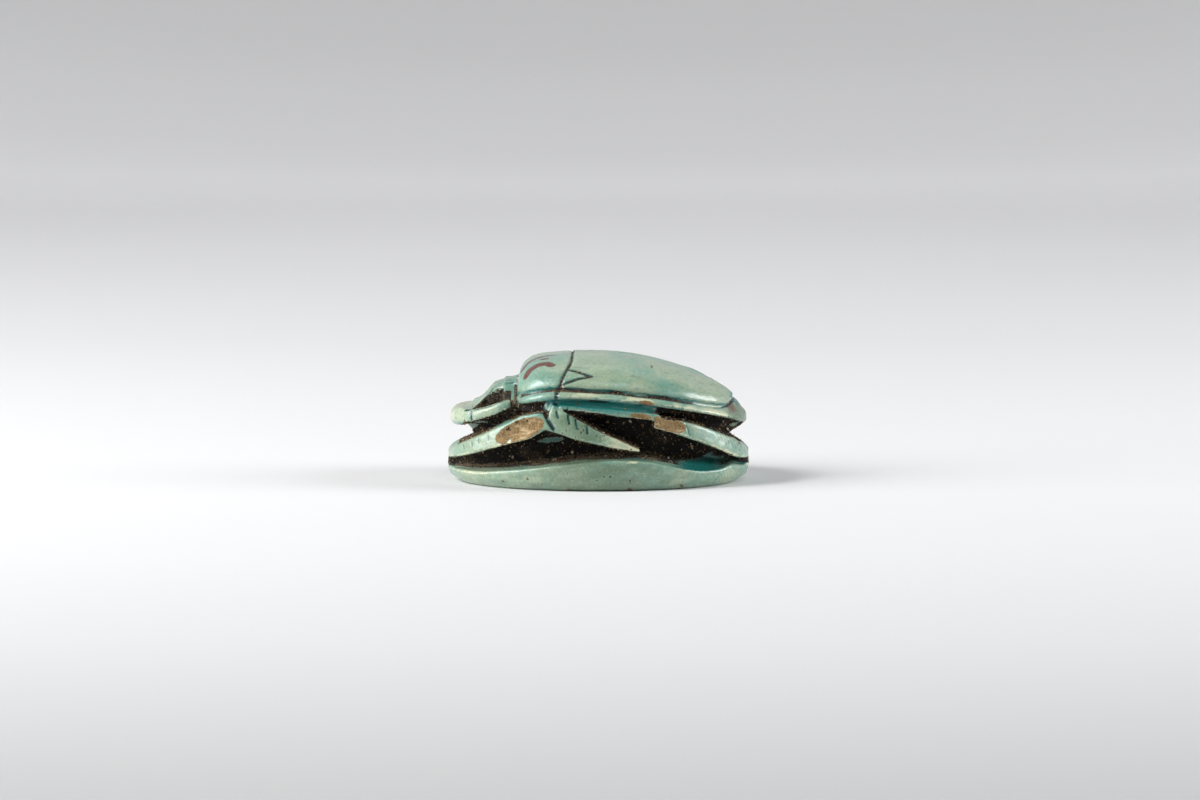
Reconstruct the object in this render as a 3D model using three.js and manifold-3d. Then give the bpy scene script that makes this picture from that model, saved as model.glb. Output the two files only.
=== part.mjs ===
// A scarab amulet, carved from one piece of steatite: a beetle with its legs cut in relief, standing on an oval
// base. The beetle's head points to -X and its tail to +X, the base rests on Z = 0, and the two sides are mirror
// images across Y = 0. A hole for a cord is drilled from end to end. All lengths are in millimetres.
import * as THREE from "three";
import { mergeVertices } from "three/addons/utils/BufferGeometryUtils.js";
import Module from "manifold-3d";

// ---- Driving dimensions ----
const BASE = { halfLength: 10, halfWidth: 7.1, edgeRadius: 0.55, thickest: 2.0, thinnest: 0.97 };
const CREST = 8.69; // the highest point of the back, over the base's underside
const RIM = { halfLength: 9.8, halfWidth: 6.45, thickness: 0.53 }; // the bead round the foot of the back
const DOME = { halfLength: 8.95, halfWidth: 5.75 }; // the back inside the groove that sets off the rim
const DIVISION_X = -1.7; // where thorax and wing cases meet, on the middle line
const NECK_X = -5.35; // the front of the thorax
const HEAD = { centreX: -6.1, reach: 3.75, halfWidth: 4.35, thickness: 1.1 }; // the plate that the head is cut on
const CORE = { halfLength: 9.86, halfWidth: 4.0, waist: 3.15 }; // the body left standing behind the legs
const BARREL = { halfLength: 9.97, low: 7.0, high: 6.45 }; // the oval wall that the legs' outer faces lie on
const CORD_HOLE = { radius: 0.65, z: 3.15 };
const GLAZE = { color: 0x8fb29b, roughness: 0.35, metalness: 0 };

const SIDES = 64; // facets round an oval
const clamp01 = (t) => Math.min(1, Math.max(0, t));
const bell = (t) => Math.exp(-t * t);
const easeDown = (t) => 0.5 + 0.5 * Math.cos(Math.PI * clamp01(t)); // from 1 to 0 as t goes from 0 to 1

// ---- Solids and how they are joined ----
const wasm = await Module();
wasm.setup();

// A closed three.js geometry as a manifold-3d solid.
function solid(geometry) {
  const bare = new THREE.BufferGeometry().setAttribute("position", geometry.getAttribute("position"));
  if (geometry.index) bare.setIndex(geometry.index);
  const merged = mergeVertices(bare, 1e-4);
  return new wasm.Manifold(
    new wasm.Mesh({
      numProp: 3,
      vertProperties: new Float32Array(merged.attributes.position.array),
      triVerts: new Uint32Array(merged.index.array),
    }),
  );
}

const joined = (solids) => solids.reduce((whole, next) => whole.add(next));

// The skin over a stack of rings, lowest ring first. Each ring runs anticlockwise seen from above, and the first
// and the last are closed by a fan round their middle.
function skin(rings) {
  const sides = rings[0].length;
  const middle = (ring) =>
    ring.reduce((sum, p) => sum.add(p), new THREE.Vector3()).divideScalar(ring.length);
  const points = [...rings.flat(), middle(rings[0]), middle(rings.at(-1))];
  const bottom = points.length - 2;
  const top = points.length - 1;
  const faces = [];
  for (let i = 0; i < sides; i++) {
    const next = (i + 1) % sides;
    const lastRow = (rings.length - 1) * sides;
    faces.push(bottom, next, i, top, lastRow + i, lastRow + next);
    for (let row = 0; row < lastRow; row += sides) {
      faces.push(row + i, row + next, row + sides + next);
      faces.push(row + i, row + sides + next, row + sides + i);
    }
  }
  const geometry = new THREE.BufferGeometry().setFromPoints(points);
  geometry.setIndex(faces);
  return geometry;
}

// One ring: planAt gives x and y for each turn round it, and heightAt the height over that spot.
function ring(planAt, heightAt, sides = SIDES) {
  return Array.from({ length: sides }, (_, i) => {
    const [x, y] = planAt((2 * Math.PI * i) / sides);
    return new THREE.Vector3(x, y, heightAt(x, y));
  });
}

// An oval in plan, which may reach further to one end than to the other.
const oval = (halfLength, halfWidth, headReach = halfLength) => (turn) => {
  const reach = Math.cos(turn) < 0 ? headReach : halfLength;
  return [reach * Math.cos(turn), halfWidth * Math.sin(turn)];
};

// A round cutter that follows a line of points.
function cutter(points, radius, steps) {
  const section = new THREE.Shape().absarc(0, 0, radius, 0, 2 * Math.PI);
  const path = new THREE.CatmullRomCurve3(points);
  return solid(new THREE.ExtrudeGeometry(section, { steps, extrudePath: path, curveSegments: 3 }));
}

// An outline in the XZ plane, carried through the whole width.
function throughWidth(outline, halfWidth) {
  const geometry = new THREE.ExtrudeGeometry(outline, { depth: 2 * halfWidth, bevelEnabled: false });
  return solid(geometry.rotateX(Math.PI / 2).translate(0, halfWidth, 0));
}

// ---- The back: thorax, wing cases and the rim round their foot ----
// The plan of the back: an oval cut nearly square at the neck. share scales it about the middle.
const shield = (halfLength, halfWidth, share = 1) => (turn) => {
  const sine = Math.sin(turn);
  const cosine = Math.cos(turn);
  if (cosine >= 0) return [share * halfLength * cosine, share * halfWidth * sine];
  const squared = (v) => Math.sign(v) * Math.abs(v) ** 0.28;
  const x = -NECK_X * squared(cosine);
  return [share * x, share * halfWidth * squared(sine) * Math.sqrt(1 - (x / halfLength) ** 2)];
};

// The rim's line arches along each side.
const rimHeight = (x) => 6.48 - (x < -2.6 ? 0.075 : 0.0125) * (x + 2.6) ** 2;

// The groove above the rim follows it, and lifts at the tail, where the rim is broad.
const grooveHeight = (x, y) => rimHeight(x) + 0.75 * bell(y / 1.8) * clamp01((x - 6.5) / 2.2);

// Height of the back along its middle line: the thorax drops steeply to the neck, the wing cases in a long curve.
function crestHeight(x) {
  if (x < DIVISION_X) {
    const t = clamp01((DIVISION_X - 0.2 - x) / 3.6);
    return 6.0 + (CREST - 0.05 - 6.0) * (1 - t ** 3) ** 0.4;
  }
  const t = clamp01((x + 0.5) / 10.35);
  return 4.3 + (CREST - 4.3) * (1 - t ** 1.9) ** 0.6;
}

function backHeight(x, y) {
  const width = DOME.halfWidth * Math.sqrt(Math.max(0, 1 - (x / DOME.halfLength) ** 2));
  const across = clamp01(Math.abs(y) / Math.max(width, 1e-6));
  const foot = grooveHeight(x, y);
  return foot + Math.max(0, crestHeight(x) - foot) * Math.sqrt(1 - across ** 2);
}

function back() {
  const grooveDepth = 0.3;
  const under = (lift) => (x) => rimHeight(x) - RIM.thickness + lift;
  const inset = (by) => shield(RIM.halfLength - by, RIM.halfWidth - by);
  const rings = [
    ring(shield(RIM.halfLength, RIM.halfWidth, 0.6), under(0.2)),
    ring(inset(0.45), under(0)),
    ring(inset(0.06), under(0.1)),
    ring(inset(0), under(0.24)),
    ring(inset(0.1), under(0.4)),
    ring(shield(DOME.halfLength + 0.14, DOME.halfWidth + 0.28), (x, y) => grooveHeight(x, y) - 0.12),
    ring(shield(DOME.halfLength, DOME.halfWidth), (x, y) => grooveHeight(x, y) - grooveDepth),
  ];
  for (const degrees of [85, 74, 63, 52, 41, 30, 20, 10]) {
    const share = Math.sin(THREE.MathUtils.degToRad(degrees));
    rings.push(ring(shield(DOME.halfLength, DOME.halfWidth, share), backHeight));
  }
  return solid(skin(rings));
}

// ---- The lines carved in the back ----
// The division between thorax and wing cases bows forward towards the sides.
const divisionX = (y) => DIVISION_X - 0.9 * (Math.abs(y) / 5.6) ** 4;
const onBack = (x, y) => new THREE.Vector3(x, y, backHeight(x, y));

function divisionGroove() {
  const points = [];
  for (let degrees = -84; degrees <= 84; degrees += 12) {
    const y = 5.62 * Math.sin(THREE.MathUtils.degToRad(degrees));
    points.push(onBack(divisionX(y), y));
  }
  const end = (side) => new THREE.Vector3(divisionX(6.2), side * 6.7, 5.7);
  return cutter([end(-1), ...points, end(1)], 0.17, 36);
}

function sutureGroove() {
  const points = [];
  for (let x = DIVISION_X; x <= DOME.halfLength; x += 1) points.push(onBack(x, 0));
  return cutter(points, 0.12, 16);
}

// The wedge marked on each shoulder, its point to the tail.
function shoulderMark(side) {
  const apex = onBack(-0.57, side * 5.22);
  const arm = (y) => cutter([onBack(divisionX(y), side * y), onBack(-1.35, (side * (y + 5.22)) / 2), apex], 0.1, 5);
  return arm(4.6).add(arm(5.5));
}

// ---- The head ----
// The plate at the front: a broad half oval, notched once on each side between the shield and the cheek.
function headPlate() {
  const { centreX, reach, halfWidth, thickness } = HEAD;
  const middle = (x) => 5.3 + 0.2 * (x - centreX);
  const notch = (turn) => 1 - 0.07 * (bell((turn - 2.26) / 0.1) + bell((turn - 4.02) / 0.1));
  const plan = (inset) => (turn) => {
    const grow = notch(turn);
    const along = Math.cos(turn) < 0 ? reach - inset : 0.35;
    const across = Math.abs(Math.sin(turn)) ** (Math.cos(turn) < 0 ? 0.9 : 0.4);
    return [centreX + along * Math.cos(turn) * grow, Math.sign(Math.sin(turn)) * across * (halfWidth - inset) * grow];
  };
  const level = (share) => (x) => middle(x) + share * thickness;
  return solid(
    skin([
      ring(plan(1.6), level(-0.75)),
      ring(plan(0.4), level(-0.52)),
      ring(plan(0.05), level(-0.3)),
      ring(plan(0), level(0.1)),
      ring(plan(0.14), level(0.36)),
      ring(plan(0.5), level(0.5)),
      ring(plan(1.5), level(0.46)),
    ]),
  );
}

// The raised middle of the head: a ramp that narrows as it climbs from the shield to a block at the neck.
function headRidge() {
  const stations = [
    { x: -9.2, half: 2.5, z: 5.0 },
    { x: -8.6, half: 2.8, z: 5.33 },
    { x: -7.9, half: 2.4, z: 5.72 },
    { x: -7.35, half: 2.1, z: 6.12 },
    { x: -7.1, half: 2.05, z: 6.5 },
    { x: -6.7, half: 2.1, z: 6.72 },
    { x: NECK_X - 0.2, half: 2.3, z: 7.12 },
  ];
  const foot = 4.6;
  const rows = stations.map(({ x, half, z }) =>
    [
      [-half - 0.3, foot],
      [half + 0.3, foot],
      [half, z - 0.42],
      [half - 0.2, z - 0.16],
      [half * 0.5, z - 0.03],
      [-half * 0.5, z - 0.03],
      [0.2 - half, z - 0.16],
      [-half, z - 0.42],
    ].map(([y, height]) => new THREE.Vector3(x, y, height)),
  );
  return solid(skin(rows));
}

// The neck, set back all round from the head and the thorax.
function neck() {
  const rows = [NECK_X - 1, NECK_X + 1].map((x) =>
    [
      [-3.3, 4.3],
      [3.3, 4.3],
      [3.3, 5.45],
      [1.9, 6.7],
      [-1.9, 6.7],
      [-3.3, 5.45],
    ].map(([y, z]) => new THREE.Vector3(x, y, z)),
  );
  return solid(skin(rows));
}

// ---- The body behind the legs, with a hollow drawn in round each end of the cord hole ----
function core() {
  const rings = [];
  for (const z of [0.6, 2.2, 2.6, 2.85, 3.15, 3.45, 3.75, 4.2, 4.8, 5.3, 5.6]) {
    const hollow = bell((z - CORE.waist) / 0.5);
    const shrink = 1.9 * clamp01((z - 4.4) / 1.2) ** 2;
    const head = CORE.halfLength - (z < CORE.waist ? 1.4 * hollow : 1.4);
    const tail = CORE.halfLength - 0.98 * hollow - shrink;
    rings.push(ring(oval(tail, CORE.halfWidth, head), () => z, 48));
  }
  return solid(skin(rings));
}

// ---- The base, thick under the middle legs and sawn thinner towards both ends ----
function baseTop(x) {
  const { thickest, thinnest } = BASE;
  if (x < 1.5) return thinnest + (thickest - thinnest) * easeDown((1.5 - x) / 11);
  return thinnest + 0.18 + (thickest - thinnest - 0.18) * easeDown((x - 2) / 5.3);
}

function base() {
  const { halfLength, halfWidth, edgeRadius } = BASE;
  const inset = (by) => oval(halfLength - by, halfWidth - by);
  const rings = [];
  for (const degrees of [0, 35, 65, 90]) {
    const turn = THREE.MathUtils.degToRad(degrees);
    rings.push(ring(inset(edgeRadius * (1 - Math.sin(turn))), () => edgeRadius * (1 - Math.cos(turn))));
  }
  rings.push(ring(inset(0.02), (x) => baseTop(x) - 0.12));
  rings.push(ring(inset(0.14), (x) => baseTop(x)));
  rings.push(ring(inset(3), (x) => baseTop(x) + 0.35));
  return solid(skin(rings));
}

// ---- The legs: tapering bars drawn in the side view and cut off by one oval wall ----
// t runs from 0 to 1 along the bar, thickness gives its full depth there and bow lifts its middle.
function bar({ from, to, bow = 0, thickness }) {
  const [x0, z0] = from;
  const [x1, z1] = to;
  const length = Math.hypot(x1 - x0, z1 - z0);
  const normal = [-(z1 - z0) / length, (x1 - x0) / length];
  const steps = 10;
  const edge = (side) =>
    Array.from({ length: steps + 1 }, (_, i) => {
      const t = i / steps;
      const off = (side * thickness(t)) / 2 + 4 * bow * t * (1 - t) * Math.sign(normal[1]);
      return new THREE.Vector2(x0 + (x1 - x0) * t + normal[0] * off, z0 + (z1 - z0) * t + normal[1] * off);
    });
  return throughWidth(new THREE.Shape([...edge(-1), ...edge(1).reverse()]), BASE.halfWidth + 1);
}

const frontLeg = () =>
  bar({ from: [-3.35, 4.62], to: [-10.4, 1.66], bow: 0.05, thickness: (t) => Math.min(1.1 + 2.2 * t, 1.78 - 1.22 * t) });
const middleLeg = () => bar({ from: [-3.3, 4.86], to: [2.85, 2.63], bow: -0.06, thickness: (t) => 1.72 - 1.4 * t });
const hindThigh = () => bar({ from: [-2.6, 5.45], to: [3.95, 4.72], bow: 0.05, thickness: (t) => 0.3 + 0.16 * t });
const hindShin = () =>
  bar({
    from: [3.62, 4.42],
    to: [10.3, 1.5],
    bow: 0.42,
    thickness: (t) => 0.7 + 0.3 * clamp01(t * 3) - 0.6 * clamp01((t - 0.8) / 0.2),
  });

function barrel() {
  const { halfLength, low, high } = BARREL;
  const rings = [];
  for (const z of [0.5, 2.5, 3.75, 5.0, 6.0]) {
    const share = clamp01((z - 2) / 3.8);
    rings.push(ring(oval(halfLength - 0.3 * share, low + (high - low) * share), () => z));
  }
  return solid(skin(rings));
}

const legs = () => joined([frontLeg(), middleLeg(), hindThigh(), hindShin()]).intersect(barrel());

// ---- The whole amulet ----
function cordHole() {
  const drill = new THREE.CylinderGeometry(CORD_HOLE.radius, CORD_HOLE.radius, 24, 20);
  return solid(drill.rotateZ(Math.PI / 2).translate(0, 0, CORD_HOLE.z));
}

function amulet() {
  const marks = joined([divisionGroove(), sutureGroove(), shoulderMark(-1), shoulderMark(1)]);
  const beetle = joined([back().subtract(marks), neck(), headPlate(), headRidge()]);
  return joined([base(), core(), legs(), beetle]).subtract(cordHole());
}

// A manifold-3d solid as a three.js geometry with flat facets.
function geometryOf(manifold) {
  const { vertProperties, triVerts, numProp } = manifold.getMesh();
  const positions = new Float32Array((vertProperties.length / numProp) * 3);
  for (let i = 0; i < positions.length / 3; i++) {
    positions.set(vertProperties.subarray(i * numProp, i * numProp + 3), i * 3);
  }
  const geometry = new THREE.BufferGeometry();
  geometry.setAttribute("position", new THREE.BufferAttribute(positions, 3));
  geometry.setIndex(new THREE.BufferAttribute(triVerts, 1));
  const flat = geometry.toNonIndexed();
  flat.computeVertexNormals();
  return flat;
}

const scarab = new THREE.Mesh(geometryOf(amulet()), new THREE.MeshStandardMaterial(GLAZE));
scarab.name = "scarab";

const group = new THREE.Group();
group.add(scarab);
export default group;
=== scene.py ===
"""A small scarab amulet: steatite carved in one piece, glazed green, worn, chipped and dirty from the ground.

The head points to -X and the tail to +X, the base stands on Z = 0, and the carving mirrors across Y = 0.
The shape is worked out in millimetres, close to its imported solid, and stored in metres.
"""

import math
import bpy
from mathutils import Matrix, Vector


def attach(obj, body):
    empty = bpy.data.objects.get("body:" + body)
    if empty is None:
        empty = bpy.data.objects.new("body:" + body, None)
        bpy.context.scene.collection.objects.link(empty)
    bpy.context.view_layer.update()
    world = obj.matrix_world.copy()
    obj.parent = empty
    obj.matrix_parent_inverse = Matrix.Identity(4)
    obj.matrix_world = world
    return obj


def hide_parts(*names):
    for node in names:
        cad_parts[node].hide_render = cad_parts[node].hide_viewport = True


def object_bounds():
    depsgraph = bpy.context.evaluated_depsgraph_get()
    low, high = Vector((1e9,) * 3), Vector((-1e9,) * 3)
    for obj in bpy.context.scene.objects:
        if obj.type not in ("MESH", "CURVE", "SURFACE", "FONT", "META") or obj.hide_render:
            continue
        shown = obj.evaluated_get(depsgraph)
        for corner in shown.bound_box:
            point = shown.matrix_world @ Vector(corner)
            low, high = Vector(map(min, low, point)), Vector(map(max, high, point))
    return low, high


bl_info = {
    "name": "Scarab Amulet",
    "version": (1, 0, 0),
    "blender": (4, 5, 0),
    "location": "3D View > Sidebar > Scarab",
    "description": "Carves and glazes a small scarab amulet, lays the dirt in its recesses and lights it",
    "category": "Add Mesh",
}

import bpy
import numpy as np
from bpy.props import FloatProperty, FloatVectorProperty, IntProperty, PointerProperty
from mathutils import Vector

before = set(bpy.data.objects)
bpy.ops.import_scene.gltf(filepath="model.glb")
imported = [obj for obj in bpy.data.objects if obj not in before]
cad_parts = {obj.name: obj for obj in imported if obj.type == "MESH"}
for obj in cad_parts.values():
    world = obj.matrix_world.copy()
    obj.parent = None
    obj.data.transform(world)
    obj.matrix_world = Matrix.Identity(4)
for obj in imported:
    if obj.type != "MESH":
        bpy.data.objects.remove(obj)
SOLID_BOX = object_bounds()
MM = 0.001


def linear(hex_colour):
    """An sRGB hex colour as linear red, green and blue."""
    parts = [int(hex_colour[i : i + 2], 16) / 255 for i in (1, 3, 5)]
    return tuple(c / 12.92 if c <= 0.04045 else ((c + 0.055) / 1.055) ** 2.4 for c in parts)


# ---- What a user would change ----


def length(name, description, default_mm, low_mm=0.0):
    return FloatProperty(
        name=name, description=description, default=default_mm * MM,
        min=low_mm * MM, precision=5, unit="LENGTH",
    )


def colour(name, description, hex_colour):
    return FloatVectorProperty(
        name=name, description=description, default=linear(hex_colour), min=0, max=1, size=3, subtype="COLOR"
    )


def per_area(name, description, default):
    return FloatProperty(name=name, description=description, default=default, min=0)


class CarvingSizes(bpy.types.PropertyGroup):
    """The sizes that the carving is cut to."""

    half_length: length("Half length", "Half the length of the base", 10)
    half_width: length("Half width", "Half the width of the base", 7.1)
    crest: length("Crest", "Highest point of the back, over the underside", 8.61)
    base_thickest: length("Base, thickest", "Base edge under the middle legs", 2.0)
    base_thinnest: length("Base, thinnest", "Base edge at the two ends", 0.97)
    rim_thickness: length("Rim", "Thickness of the bead round the foot of the back", 0.53)
    cord_hole: length("Cord hole", "Radius of the hole drilled from end to end", 0.65)
    line_depth: length("Line depth", "Depth of the lines cut in the back", 0.15)
    grain: length("Grain", "Spacing of the grid that the surface is drawn on", 0.125, 0.05)


class GlazeColours(bpy.types.PropertyGroup):
    """The colours of the glaze, the stone under it and what lies on it."""

    green: colour("Green", "Glaze where it is thin", "#93A78E")
    blue_green: colour("Blue green", "Glaze where it is a little thicker", "#6A9889")
    # Teal also stands for painted shade on the faces turned down under the rim.
    teal: colour("Teal", "Glaze pooled in the recesses", "#1C6E69")
    line: colour("Line", "Glaze at the bottom of the cut lines", "#12302E")
    pale: colour("Pale", "Glaze worn thin on the edges", "#C6C9A8")
    stone: colour("Stone", "Bare steatite in the chips", "#9E8359")
    streak: colour("Streak", "Paler streaks in the bare steatite", "#BCA57E")
    stain: colour("Stain", "Rusty spots", "#5A4322")
    pit: colour("Pit", "Dirt in the pits of the glaze", "#3F4B3F")
    earth: colour("Earth", "Dark brown crumbs", "#3A2E22")
    clay: colour("Clay", "Brown crumbs", "#6E5636")
    straw: colour("Straw", "Fibres and light crumbs", "#A08250")
    grit: colour("Grit", "Palest grains of stone", "#D8CDB4")
    soil: colour("Soil", "Dirt packed in the recesses", "#0F0C0A")
    dust: colour("Dust", "Dry dirt on the packed dirt", "#86765F")
    pigment: colour("Pigment", "Red-brown brush dabs on the thorax", "#5C2C1C")


class DirtSizes(bpy.types.PropertyGroup):
    """The loose crumbs and fibres that lie in the recesses."""

    crumbs: per_area("Crumbs", "Crumbs on each square millimetre of packed dirt", 30)
    fibres: per_area("Fibres", "Fibres on each square millimetre", 1.4)
    lumps: per_area("Lumps", "Larger lumps on each square millimetre", 0.9)
    crumb_size: length("Crumb size", "Width of the largest crumbs", 0.13)
    seed: IntProperty(name="Seed", description="Seed of where the crumbs lie", default=4)


class StudioSettings(bpy.types.PropertyGroup):
    """The camera and the pale sweep that the amulet stands on."""

    distance: length("Camera distance", "From the camera to the middle of the amulet", 222.2)
    elevation: FloatProperty(
        name="Camera elevation", description="Camera height as an angle",
        default=math.radians(5.6), subtype="ANGLE",
    )
    sweep: colour("Sweep", "Paper that the amulet stands on", "#F2F2F3")


# ---- Solids as distances: below 0 inside, above 0 outside, in millimetres ----


def clamp01(t):
    return np.clip(t, 0, 1)


def bell(t):
    return np.exp(-t * t)


def ease(t):
    """From 0 to 1, with no corner at either end."""
    t = clamp01(t)
    return t * t * (3 - 2 * t)


def join(a, b, soft):
    """Both solids, with the crease between them filled over this width."""
    near = np.maximum(soft - np.abs(a - b), 0)
    return np.minimum(a, b) - near * near / (4 * soft)


def meet(a, b, soft):
    """What the two solids share, with the edge between them worn over this width."""
    return -join(-a, -b, soft)


def cut(a, b, soft):
    """The first solid without the second."""
    return meet(a, -b, soft)


def rounded(a, b, radius):
    """What two solids share, with a true round edge where they meet square."""
    u, v = np.maximum(a + radius, 0), np.maximum(b + radius, 0)
    return np.minimum(np.maximum(a, b), -radius) + np.hypot(u, v)


def oval(x, y, half_length, half_width):
    """An upright wall that is oval in plan."""
    near = np.hypot(x / half_length, y / half_width)
    slope = np.hypot(x / half_length**2, y / half_width**2)
    return near * (near - 1) / np.maximum(slope, 1e-6)


def as_distance(form, x, y, z, step=0.02):
    """A form that is 0 on its surface, scaled by its own slope so that it reads as a distance."""
    here = form(x, y, z)
    slopes = [form(x + step, y, z) - here, form(x, y + step, z) - here, form(x, y, z + step) - here]
    return here * step / np.maximum(np.sqrt(sum(s * s for s in slopes)), 0.12 * step)


def bar(x, z, start, end, thickness, bow=0.0, end_round=0.25):
    """A leg drawn in the side view. t runs from 0 to 1 along it, and bow lifts its middle."""
    (x0, z0), (x1, z1) = start, end
    long = math.hypot(x1 - x0, z1 - z0)
    along = ((x - x0) * (x1 - x0) + (z - z0) * (z1 - z0)) / long
    off = ((z - z0) * (x1 - x0) - (x - x0) * (z1 - z0)) / long
    t = clamp01(along / long)
    off = off - 4 * bow * t * (1 - t) * math.copysign(1, x1 - x0)
    return meet(np.abs(off) - thickness(t) / 2, np.maximum(-along, along - long), end_round)


def flake(x, z, wall, centre, reach, depth, tilt):
    """A shallow break in an upright wall: an oval patch in the side view, tilted by some degrees."""
    turn = math.radians(tilt)
    dx, dz = x - centre[0], z - centre[1]
    u = (dx * math.cos(turn) + dz * math.sin(turn)) / reach[0]
    w = (dz * math.cos(turn) - dx * math.sin(turn)) / reach[1]
    return (np.sqrt(u**2 + w**2 + ((wall - depth) / (2 * depth)) ** 2) - 1) * min(*reach, 2 * depth)


def waves(x, y, z, size, seed):
    """Smooth unevenness from about -1 to 1: seven waves about this long, in fixed random directions."""
    random = np.random.default_rng(seed)
    count, total = 7, 0
    for _ in range(count):
        way = random.normal(size=3)
        way *= 2 * math.pi / (size * random.uniform(0.7, 1.5) * np.linalg.norm(way))
        total = total + np.sin(way[0] * x + way[1] * y + way[2] * z + random.uniform(0, 2 * math.pi))
    return total / math.sqrt(count)


# ---- The carving ----
DIVISION_X = -1.7  # where thorax and wing cases meet, on the middle line
NECK_X = -5.35  # the front of the thorax
DOME = (8.95, 5.75)  # half length and half width of the back inside its rim
RIM = (9.85, 6.45)
CORE_HALF_WIDTH = 4.0  # the body between the legs
LEG_FOOT, LEG_HEIGHT = 2.0, 3.8  # from where the legs lean in, and over what height
WAIST_Z = 3.15  # the cord hole, and the hollow drawn in round each of its mouths
SHIELD_CORNER = 3.57  # how nearly square the thorax is at the neck
BASE_EDGE = 0.7  # how round the base's lower edge is worn


def rim_height(x):
    """The rim arches along each side."""
    return 6.48 - np.where(x < -2.6, 0.075, 0.0125) * (x + 2.6) ** 2


def groove_height(x, y):
    """The groove over the rim follows it, and lifts at the tail, where the rim is broad."""
    return rim_height(x) + 0.75 * bell(y / 1.8) * clamp01((x - 6.5) / 2.2)


def division_x(y):
    return DIVISION_X - 0.9 * (np.abs(y) / 5.6) ** 4


def shield(x, y, half_length, half_width):
    """The plan of the back, 1 on its outline: an oval cut nearly square at the neck."""
    width = half_width * np.sqrt(np.maximum(1 - (x / half_length) ** 2, 1e-4))
    corner = SHIELD_CORNER + 4
    front = (np.maximum(-x, 0) / -NECK_X) ** corner + (np.abs(y) / width) ** corner
    return np.where(x < 0, front ** (1 / corner), np.hypot(x / half_length, y / half_width))


def shield_wall(x, y, size):
    return as_distance(lambda u, v, _: shield(u, v, *size) - 1, x, y, 0 * x)


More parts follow.
